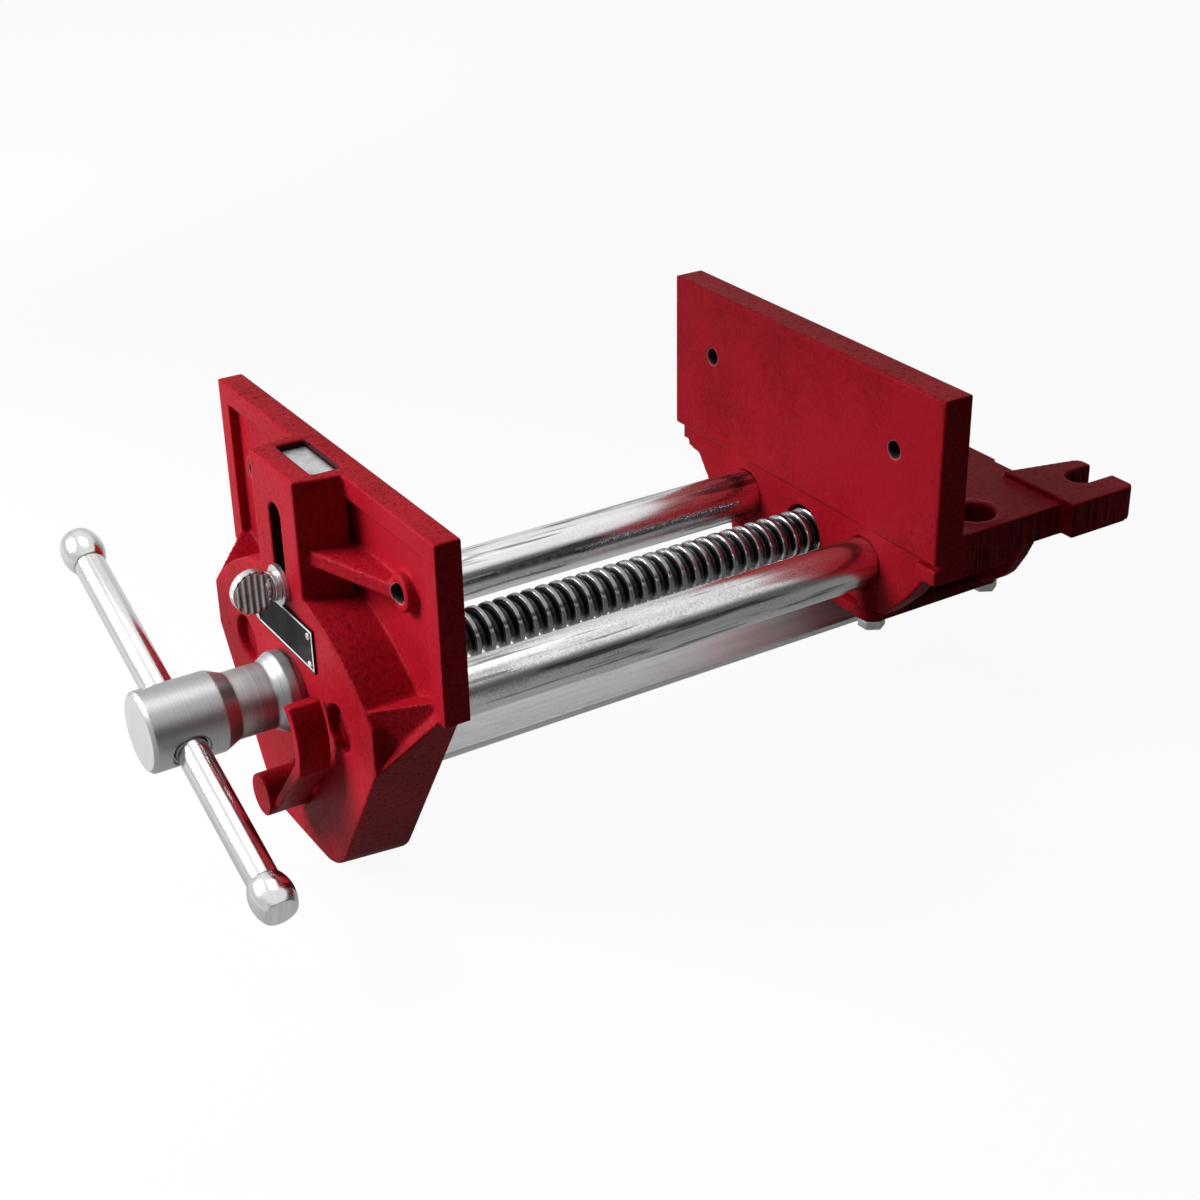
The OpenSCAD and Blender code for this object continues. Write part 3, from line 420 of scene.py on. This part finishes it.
def zinc_plate(name="zinc_plate", middle=None):
    """Cloud = 0.6 broad + 0.4 fine noise; dark grooves along Y, counted from a disc's middle if given."""
    f = Finish(name)
    cloud = f.noise(240, 3, 0.6) * 0.6 + f.noise(1300, 2, 0.6) * 0.4
    colour = f.mix(cloud.over(0.38, 0.62), (0.50, 0.51, 0.51), (0.70, 0.71, 0.71))
    if middle is not None:
        away = (f.y - middle + GROOVE_PITCH * 20) / GROOVE_PITCH
        groove = 1 - (away % 1.0 - 0.5).size().over(0.10, 0.30)
        face = f.x.size().over(*DISC_FACE) * (1 - (f.y - middle).size().over(*DISC_EDGE))
        colour = f.mix(groove * face * 0.85, colour, (0.05, 0.05, 0.055))
    rough = (0.24 + cloud * 0.25).clip(0.05, 0.9)
    return f.surface(Base_Color=colour, Metallic=1.0, Roughness=rough, Normal=f.bump(cloud, 0.00004))


def black_enamel():
    """Line = a thin bare frame, at an even distance from the plate's own edges."""
    f = Finish("black_plate_enamel")
    low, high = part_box("name_plate")
    side = (high.x - low.x) / 2 - (f.x - (high.x + low.x) / 2).size()
    end = (high.z - low.z) / 2 - (f.z - (high.z + low.z) / 2).size()
    edge = side.least(end)
    line = edge.over(0.0004, 0.0006) * (1 - edge.over(0.0012, 0.0014))
    dust = f.noise(2600, 2, 0.6)
    wave = f.noise(120, 2, 0.5)
    colour = f.mix(dust.over(0.58, 0.80), (0.0030, 0.0030, 0.0036), (0.012, 0.012, 0.014))
    colour = f.mix(line, colour, (0.75, 0.75, 0.75))
    return f.surface(Base_Color=colour, Roughness=(0.34 + wave * 0.2).clip(0.1, 0.9),
                     Normal=f.bump(dust, 0.00002), Specular_IOR_Level=0.05)


zinc = zinc_plate()
ribbed_zinc = zinc_plate("ribbed_zinc", middle=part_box("dog_thumbscrew")[0].y + DISC_FROM_TIP)
black = black_enamel()
print("materials", zinc.name, ribbed_zinc.name, black.name)

# %% [markdown]
# ## Castings with soft edges
# A casting has no sharp edge: sand rounds the outer ones, and the pattern maker fills the inner ones. The
# solids have sharp edges. Rounding hundreds of edges by hand would be slow, so a copy of the solid is
# wrapped in a fine, even skin of small squares (voxel remesh), the skin is relaxed, which rounds both
# kinds of edge, and squares that flat faces don't need are merged again.

# %% Wrap a solid in an even skin
def skinned(node, name, voxel, relax, keep, body, slot, material):
    """A copy of a CAD node, remeshed at voxel metres, relaxed, and thinned to keep of its triangles."""
    mesh = nodes[node].data.copy()
    piece = added(name, mesh)
    work = bmesh.new()
    work.from_mesh(mesh)
    bmesh.ops.remove_doubles(work, verts=work.verts, dist=1e-6)
    work.to_mesh(mesh)
    work.free()
    remesh = piece.modifiers.new("skin", "REMESH")
    remesh.mode, remesh.voxel_size = "VOXEL", voxel
    smooth = piece.modifiers.new("relax", "SMOOTH")
    smooth.factor, smooth.iterations = 0.5, relax
    piece.modifiers.new("thin", "DECIMATE").ratio = keep
    bpy.context.view_layer.update()
    graph = bpy.context.evaluated_depsgraph_get()
    final = bpy.data.meshes.new_from_object(piece.evaluated_get(graph))
    piece.modifiers.clear()
    piece.data = final
    final.polygons.foreach_set("use_smooth", np.ones(len(final.polygons), bool))
    final.materials.clear()
    final.materials.append(material)
    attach(piece, body)
    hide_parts(node)
    print(name, "triangles", sum(len(p.vertices) - 2 for p in final.polygons))


# %% The castings
for row in (("front_jaw", "front_jaw_casting", 0.0007, 4, 0.42, "front"),
            ("rear_jaw", "rear_jaw_casting", 0.0008, 4, 0.42, "base"),
            ("nut_bracket", "bracket_casting", 0.0008, 3, 0.5, "base"),
            ("release_lever", "lever_casting", 0.0005, 4, 0.6, "lever"),
            ("end_plate", "end_plate_casting", 0.0008, 3, 0.5, "front")):
    skinned(*row, "painted_casting", enamel)

# %% [markdown]
# ## Small sawn and pressed pieces
# The dog is a sawn block, the release bar is rolled flat stock, and the bolts and the thumbscrew are cold
# formed. The same wrapping gives them their slightly broken edges, with a finer skin and less relaxing. The
# release bar is long and plain, and has a coarser skin than the rest.

# %% Blocks, bar and fasteners
ZINC = "zinc_plated_steel"
for node, name, voxel, keep, body, slot, material in (
        ("dog", "dog_block", 0.0004, 0.5, "dog_block", ZINC, zinc),
        ("release_bar", "flat_release_bar", 0.0006, 0.4, "lever", "bright_steel", sheet_steel),
        ("bracket_bolts", "hex_bracket_bolts", 0.0004, 0.5, "base", ZINC, zinc),
        ("end_plate_bolts", "hex_end_bolts", 0.0005, 0.5, "front", ZINC, zinc),
        ("dog_thumbscrew", "thumbscrew", 0.00022, 0.5, "thumbscrew", ZINC, ribbed_zinc),
        ("name_plate_rivets", "plate_rivets", 0.00015, 0.5, "front", ZINC, zinc)):
    skinned(node, name, voxel, 2, keep, body, slot, material)

# %% [markdown]
# ## Turned pieces
# Rods, knobs and the handle's bar are all one curve spun about an axis. The curve is a list of places
# along the axis with their radii. Each corner of it is eased by a small arc, as a lathe hand breaks an
# edge, and the whole surface is then worked out at once: point(i, j) = axis point(i) + radius(i) * ring(j).

# %% Spin a profile
def eased(profile, radius):
    """Each inner corner p becomes a curve between p - a and p + b: (1-t)^2 (p-a) + 2t(1-t) p + t^2 (p+b)."""
    pts = np.array(profile, float)
    out = [pts[0]]
    t = np.linspace(0, 1, 5)[:, None]
    for before, corner, after in zip(pts[:-2], pts[1:-1], pts[2:]):
        back, ahead = before - corner, after - corner
        lb, la = np.linalg.norm(back), np.linalg.norm(ahead)
        a = back / lb * min(radius, lb * 0.45)
        b = ahead / la * min(radius, la * 0.45)
        out.extend((1 - t) ** 2 * (corner + a) + 2 * t * (1 - t) * corner + t ** 2 * (corner + b))
    out.append(pts[-1])
    return np.array(out)


def spun(name, start, axis, profile, body, material, node, ease=0.0004, around=96):
    """A closed surface of revolution. Profile rows are (place along the axis, radius), both in metres."""
    curve = eased(profile, ease)
    axis = np.array(axis, float) / np.linalg.norm(axis)
    side = np.cross(axis, (0.0, 0.0, 1.0) if abs(axis[2]) < 0.9 else (1.0, 0.0, 0.0))
    side /= np.linalg.norm(side)
    other = np.cross(axis, side)
    angle = np.linspace(0, 2 * np.pi, around, endpoint=False)
    ring = np.cos(angle)[:, None] * side + np.sin(angle)[:, None] * other
    points = np.array(start) + curve[:, 0, None, None] * axis + curve[:, 1, None, None] * ring
    return grid_piece(name, points, body, material, node)


def grid_piece(name, points, body, material, node):
    """Joins rings of points into quads and closes both ends; a piece given no body is not attached to one."""
    rows, around = points.shape[:2]
    index = np.arange(rows * around).reshape(rows, around)
    turned = np.roll(index, -1, axis=1)
    quads = np.stack([index[:-1], turned[:-1], turned[1:], index[1:]], -1).reshape(-1, 4)
    mesh = bpy.data.meshes.new(name)
    faces = quads.tolist() + [index[0, ::-1].tolist(), index[-1].tolist()]
    mesh.from_pydata(points.reshape(-1, 3).tolist(), [], faces)
    work = bmesh.new()
    work.from_mesh(mesh)
    bmesh.ops.remove_doubles(work, verts=work.verts, dist=1e-7)
    bmesh.ops.dissolve_degenerate(work, edges=work.edges, dist=1e-7)
    bmesh.ops.recalc_face_normals(work, faces=work.faces)
    for face in work.faces:
        face.smooth = True
    for edge in work.edges:
        edge.smooth = len(edge.link_faces) == 2 and edge.calc_face_angle(0.0) < math.radians(32)
    work.to_mesh(mesh)
    work.free()
    mesh.materials.append(material)
    piece = added(name, mesh)
    if body:
        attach(piece, body)
    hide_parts(node)
    return piece


# %% [markdown]
# ## Guide rods
# The rods were pinned into the front jaw before it was dipped, so the end that shows in each round pocket
# of the apron is red as well. The faces of that end take the enamel. It is a spigot, a little thinner than
# the rod, which ends 18.4 mm before the clamping face.

# %% Guide rods
SPIGOT_R, SHOULDER, CHAMFER = 0.0090, 0.0184, 0.001
for side, word in ((-1, "left"), (1, "right")):
    low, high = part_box("guide_rod_" + word)
    length = high.y - low.y
    spigot = JAW_Y - SHOULDER - low.y
    profile = [(0, 0), (0, SPIGOT_R), (spigot, SPIGOT_R), (spigot, ROD_R), (length - CHAMFER, ROD_R),
               (length, ROD_R - CHAMFER), (length, 0)]
    rod = spun("rod_" + word, (side * ROD_X, low.y, ROD_Z), (0, 1, 0), profile, "front",
               rod_steel, "guide_rod_" + word, around=128)
    rod.data.materials.append(enamel)
    middle = np.empty(len(rod.data.polygons) * 3)
    rod.data.polygons.foreach_get("center", middle)
    painted = middle[1::3] < low.y + spigot
    rod.data.polygons.foreach_set("material_index", painted.astype(np.int32))
    print(rod.name, "from", low.y, "to", high.y, "painted", int(painted.sum()))

# %% [markdown]
# ## The main screw
# The thread is a groove that climbs round the bar. A ring of points runs round the axis at each station,
# and the radius there depends on the angle and on the place: phase = 2 pi y / pitch - angle. Real rolled
# threads for a quick release are round on top, so the wave is flattened at its crest and narrow in its
# valley. It starts from the same phase as the solid screw, so that it sits in the nut's thread.

# %% The rolled thread
PITCH, CREST, DEPTH = 0.00635, 0.0100, 0.0030
JOURNAL_R, TAIL_R = 0.009, 0.006
RUN_IN_FROM, RUN_IN, RUN_OUT_TO, RUN_OUT = 0.014, 0.004, 0.2632, 0.002
AROUND, STATIONS = 60, 1180


def thread_points(y):
    """Radius = crest - depth * (1 - wave), where wave = (0.5 + 0.65 cos phase) held to 0..1 and eased.

    It grows out of the journal over RUN_IN and falls to the tail over RUN_OUT.
    """
    angle = np.linspace(0, 2 * np.pi, AROUND, endpoint=False)
    phase = 2 * np.pi * (y[:, None] - JAW_Y) / PITCH - angle[None, :]
    wave = np.clip(0.5 + 0.65 * np.cos(phase), 0, 1)
    wave = wave * wave * (3 - 2 * wave)
    grown = np.clip((y[:, None] - JAW_Y - RUN_IN_FROM) / RUN_IN, 0, 1)
    left = np.clip((JAW_Y + RUN_OUT_TO - y[:, None]) / RUN_OUT, 0, 1)
    thread_r = CREST - DEPTH * (1 - wave)
    radius = np.where(grown < 1, JOURNAL_R + (thread_r - JOURNAL_R) * grown, thread_r)
    radius = radius * left + TAIL_R * (1 - left)
    ring = np.stack([np.sin(angle), np.zeros(AROUND), np.cos(angle)], -1)
    points = radius[:, :, None] * ring
    points[:, :, 1] = y[:, None]
    points[:, :, 2] += SCREW_Z
    return points


threaded = np.linspace(JAW_Y + RUN_IN_FROM - 0.0001, JAW_Y + RUN_OUT_TO + 0.0003, STATIONS)
stations = np.concatenate([[screw_low.y, screw_low.y + 0.0005], threaded,
                           [screw_high.y - 0.0006, screw_high.y]])
screw = grid_piece("rolled_screw", thread_points(stations), "screw", dark_steel,
                   "main_screw")
print("screw triangles", sum(len(p.vertices) - 2 for p in screw.data.polygons))

# %% [markdown]
# ## Handle and knobs
# The handle slides through the screw head at a slant. Its axis goes from the upper knob to the lower one.
# Each knob is a short barrel, put on after the bar went through the head.

# %% Handle and knobs
TILT = math.radians(21.2)
along = np.array([math.cos(TILT), 0.0, -math.sin(TILT)])
upper_mid, lower_mid, bar_mid = (np.mean([np.array(corner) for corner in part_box(node)], axis=0)
                                 for node in ("handle_knob_upper", "handle_knob_lower", "handle_bar"))
BAR_R, KNOB_R, KNOB_END_R, KNOB_LEN = 0.0060, 0.0082, 0.0064, 0.0140
HALF_BAR = (np.linalg.norm(lower_mid - upper_mid) - KNOB_LEN) / 2
spun("slide_handle", bar_mid - along * HALF_BAR, along,
     [(0, 0), (0, BAR_R), (2 * HALF_BAR, BAR_R), (2 * HALF_BAR, 0)], "handle",
     bar_steel, "handle_bar", ease=0.0003)


def knob_profile():
    """A barrel, as wide at its neck as at its flat end: an arc whose rise and half length give its radius."""
    half, rise = KNOB_LEN / 2, KNOB_R - KNOB_END_R
    radius = (half ** 2 + rise ** 2) / (2 * rise)
    turn = np.linspace(-1, 1, 17) * math.asin(half / radius)
    arc = zip(half + radius * np.sin(turn), KNOB_R - radius + radius * np.cos(turn))
    return [(0, 0), *arc, (KNOB_LEN, 0)]


for word, way in (("lower", along), ("upper", -along)):
    spun("knob_" + word, bar_mid + way * HALF_BAR, way, knob_profile(), "handle",
         bar_steel, "handle_knob_" + word, ease=0.0002)
print("handle from", bar_mid - along * HALF_BAR, "to", bar_mid + along * HALF_BAR)

# %% [markdown]
# ## The screw head
# The head isn't one spun curve, because the handle's hole goes across it. It is wrapped as the castings are,
# in a finer skin, so that both mouths of the hole get a soft edge.

# %% The screw head, with its cross hole
skinned("screw_head", "turned_head", 0.00035, 3, 0.45, "screw", "bright_steel", head_steel)

# %% [markdown]
# ## The half nut's springs
# Two coils of round wire push the half nut up from its bracket. When the lever turns, the half nut comes
# down and they shorten: each coil's foot stays with the bracket and its top goes with the half nut. Here the
# coils are built at rest and follow neither body.

# %% Two coils
WIRE_R, TURNS, COIL_STATIONS, WIRE_SIDES = 0.0006, 3.5, 141, 12
for word in ("left", "right"):
    low, high = (np.array(corner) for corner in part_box("nut_spring_" + word))
    climb = np.linspace(0, 1, COIL_STATIONS)[:, None]
    sweep = 2 * np.pi * TURNS * climb
    outward = np.concatenate([np.cos(sweep), np.sin(sweep), 0 * sweep], 1)
    centre = (low + high) / 2 + outward * ((high[0] - low[0]) / 2 - WIRE_R)
    centre[:, 2] = (low[2] + WIRE_R + climb * (high[2] - low[2] - 2 * WIRE_R))[:, 0]
    around = np.linspace(0, 2 * np.pi, WIRE_SIDES, endpoint=False)[None, :, None]
    ring = np.cos(around) * outward[:, None, :] + np.sin(around) * np.array([0.0, 0.0, 1.0])
    coil = grid_piece("coil_spring_" + word, centre[:, None, :] + WIRE_R * ring, None,
                      plain_steel, "nut_spring_" + word)
    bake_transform(coil)
    print(coil.name, "wire", WIRE_R, "height", high[2] - low[2])

# %% [markdown]
# ## Washers, collar, pins and plate
# These are small, hidden or flat, so the solids themselves serve. Only their material is set.

# %% Washers, collar and pins
rest = {"thrust_washer": dark_steel, "screw_collar": plain_steel, "collar_pin": plain_steel,
        "rod_pins": plain_steel, "lever_pin": plain_steel, "bar_ring": plain_steel,
        "end_plate_washers": zinc, "dog_washer": zinc, "half_nut": dark_steel, "name_plate": black}
for node, material in rest.items():
    nodes[node].data.materials.clear()
    nodes[node].data.materials.append(material)
print("plain nodes", len(rest))

# %% [markdown]
# ## Floor
# The vise stands on a pale floor. The camera sees it almost white, with the vise's faint shadow. Light that
# bounces sees a dim grey, so that the undersides stay dark, and polished steel sees it bright towards the
# left and the front and dim elsewhere.

# %% Floor
FLOOR_Z, FLOOR_HALF = cad_box[0][2] - 0.0005, 4
paper = Finish("pale_floor")
camera_sees = paper.node("ShaderNodeLightPath", out="Is Camera Ray")
mirror_sees = paper.node("ShaderNodeLightPath", out="Is Glossy Ray")
grey = paper.node("ShaderNodeBsdfDiffuse", Color=(0.22, 0.22, 0.22, 1))
pale = paper.node("ShaderNodeBsdfDiffuse", Color=(0.86, 0.86, 0.86, 1))
glow = paper.node("ShaderNodeEmission", Color=(1, 1, 1, 1))
seen = paper.node("ShaderNodeMixShader", _0=0.94, _1=pale, _2=glow)
shine = 0.16 + (paper.x * -0.8 + paper.y * -0.5).over(-0.1, 0.5) * 0.74
mirrored = paper.node("ShaderNodeMixShader", _0=mirror_sees * shine, _1=grey, _2=glow)
paper.end(paper.node("ShaderNodeMixShader", _0=camera_sees, _1=mirrored, _2=seen))
floor = board("floor", [(x * FLOOR_HALF, y * FLOOR_HALF, FLOOR_Z)
                        for x, y in ((-1, -1), (1, -1), (1, 1), (-1, 1))], paper.material)
floor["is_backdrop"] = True
print("floor at", FLOOR_Z)

# %% [markdown]
# ## World
# The world is white where the camera or glass sees it, and dim where it only fills shadows. Polished steel
# needs something dark to mirror, so the world that a mirror sees has a dark band along its horizon, as a
# room has, strongest behind the vise and to its right.

# %% World
world = bpy.data.worlds.new("studio")
bpy.context.scene.world = world
world.use_nodes = True
sky = Graph(world.node_tree)
camera_sees = sky.node("ShaderNodeLightPath", out="Is Camera Ray")
mirror_sees = sky.node("ShaderNodeLightPath", out="Is Glossy Ray")
glass_sees = sky.node("ShaderNodeLightPath", out="Is Transmission Ray")
dx, dy, dz = sky.split(sky.node("ShaderNodeTexCoord", out="Object"))
band = (1 - dz.over(0.44, 0.64)) * (0.25 + (dx * 0.8 + dy * 0.5).over(-0.2, 0.5) * 0.75)
fill, white, mirrored = (sky.node("ShaderNodeBackground", Color=(1, 1, 1, 1), Strength=strength)
                         for strength in (0.03, 1.0, 1 - band * 0.90))
plain = sky.node("ShaderNodeMixShader", _0=camera_sees.most(glass_sees), _1=fill, _2=white)
sky.end(sky.node("ShaderNodeMixShader", _0=mirror_sees * (1 - camera_sees), _1=plain, _2=mirrored),
        "ShaderNodeOutputWorld")
print("world", world.name)

# %% [markdown]
# ## Lamps
# One wide lamp from the left, the front and above lights the faces that look towards the handle and the
# sky, and the right-hand ends of the jaws fall dark, as in the photograph. A weak one overhead opens the
# shadows.

# %% Lamps
KEY_AT = (-0.60, -1.15, 0.80)


def lamp(name, place, target, size, watts):
    """A square area lamp that faces its target."""
    data = bpy.data.lights.new(name, "AREA")
    data.size, data.energy = size, watts
    thing = added(name, data)
    thing.location = place
    thing.rotation_euler = (Vector(target) - Vector(place)).to_track_quat("-Z", "Y").to_euler()


lamp("key", KEY_AT, (0, -0.20, 0), 0.7, 31)
lamp("top", (-0.2, -0.1, 1.6), (0, -0.15, 0), 0.9, 5)
print("key lamp at", KEY_AT)

# %% [markdown]
# ## Flag
# The rear jaw would be as bright as the front one. A photographer holds a black card, a flag, between the
# lamp and the part that should be darker. Its edge crosses the beam that goes to a point on the rear jaw,
# not quite half way to the lamp, so the shadow it casts has a very soft edge. It only shades: the camera,
# mirrors and bounced light don't see it.

# %% Flag
JAW_POINT, FLAG_SHARE = Vector((0, 0, 0.03)), 0.45
SIDEWAYS, UPWARDS = 0.069, 0.080
FLAG_REACH, FLAG_HALF = 0.6, 0.5
to_lamp = Vector(KEY_AT) - JAW_POINT
beam = to_lamp.normalized()
level = beam.cross(Vector((0, 0, 1))).normalized()
outward = (level * SIDEWAYS + level.cross(beam) * UPWARDS).normalized()
aside = beam.cross(outward)
edge_at = JAW_POINT + to_lamp * FLAG_SHARE
card_finish = Finish("black_card")
card_finish.end(card_finish.node("ShaderNodeBsdfDiffuse", Color=(0.01, 0.01, 0.01, 1)))
card = board("flag", [tuple(edge_at + outward * a + aside * b)
                      for a, b in ((0, -FLAG_HALF), (FLAG_REACH, -FLAG_HALF),
                                   (FLAG_REACH, FLAG_HALF), (0, FLAG_HALF))], card_finish.material)
card.visible_camera = card.visible_glossy = card.visible_diffuse = False
card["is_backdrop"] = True
print("flag's edge at", tuple(edge_at))

# %% [markdown]
# ## Camera
# The camera was found by matching the corners of both jaws, the rods and the thread with the photograph.
# Its lens is given in pixels of the picture, and three angles turn it: round the vise, up, and a small roll.

# %% Camera
F_PIXELS, PICTURE, SENSOR = 2021.39, 1200, 36.0
CAMERA_AT = (0.611193, -0.503889, 0.342331)
AZIMUTH, ELEVATION, ROLL = map(math.radians, (58.385, 27.663, -1.150))
back = Vector((math.sin(AZIMUTH) * math.cos(ELEVATION), -math.cos(AZIMUTH) * math.cos(ELEVATION),
               math.sin(ELEVATION)))
right = Vector((math.cos(AZIMUTH), math.sin(AZIMUTH), 0))
up = back.cross(right)
right, up = (right * math.cos(ROLL) + up * math.sin(ROLL),
             up * math.cos(ROLL) - right * math.sin(ROLL))
camera_data = bpy.data.cameras.new("camera")
camera_data.sensor_width = SENSOR
camera_data.lens = F_PIXELS / PICTURE * SENSOR
camera = added("camera", camera_data)
turn = Matrix((right, up, back)).transposed().to_4x4()
camera.matrix_world = Matrix.Translation(CAMERA_AT) @ turn
bpy.context.scene.camera = camera
bpy.context.scene.view_settings.view_transform = "Standard"
print("lens", camera_data.lens)

# %% [markdown]
# ## The end
# The box of the dressed vise is worked out again, as the solids' box was. They should be the same.

# %% Sizes, and the end
low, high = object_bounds()
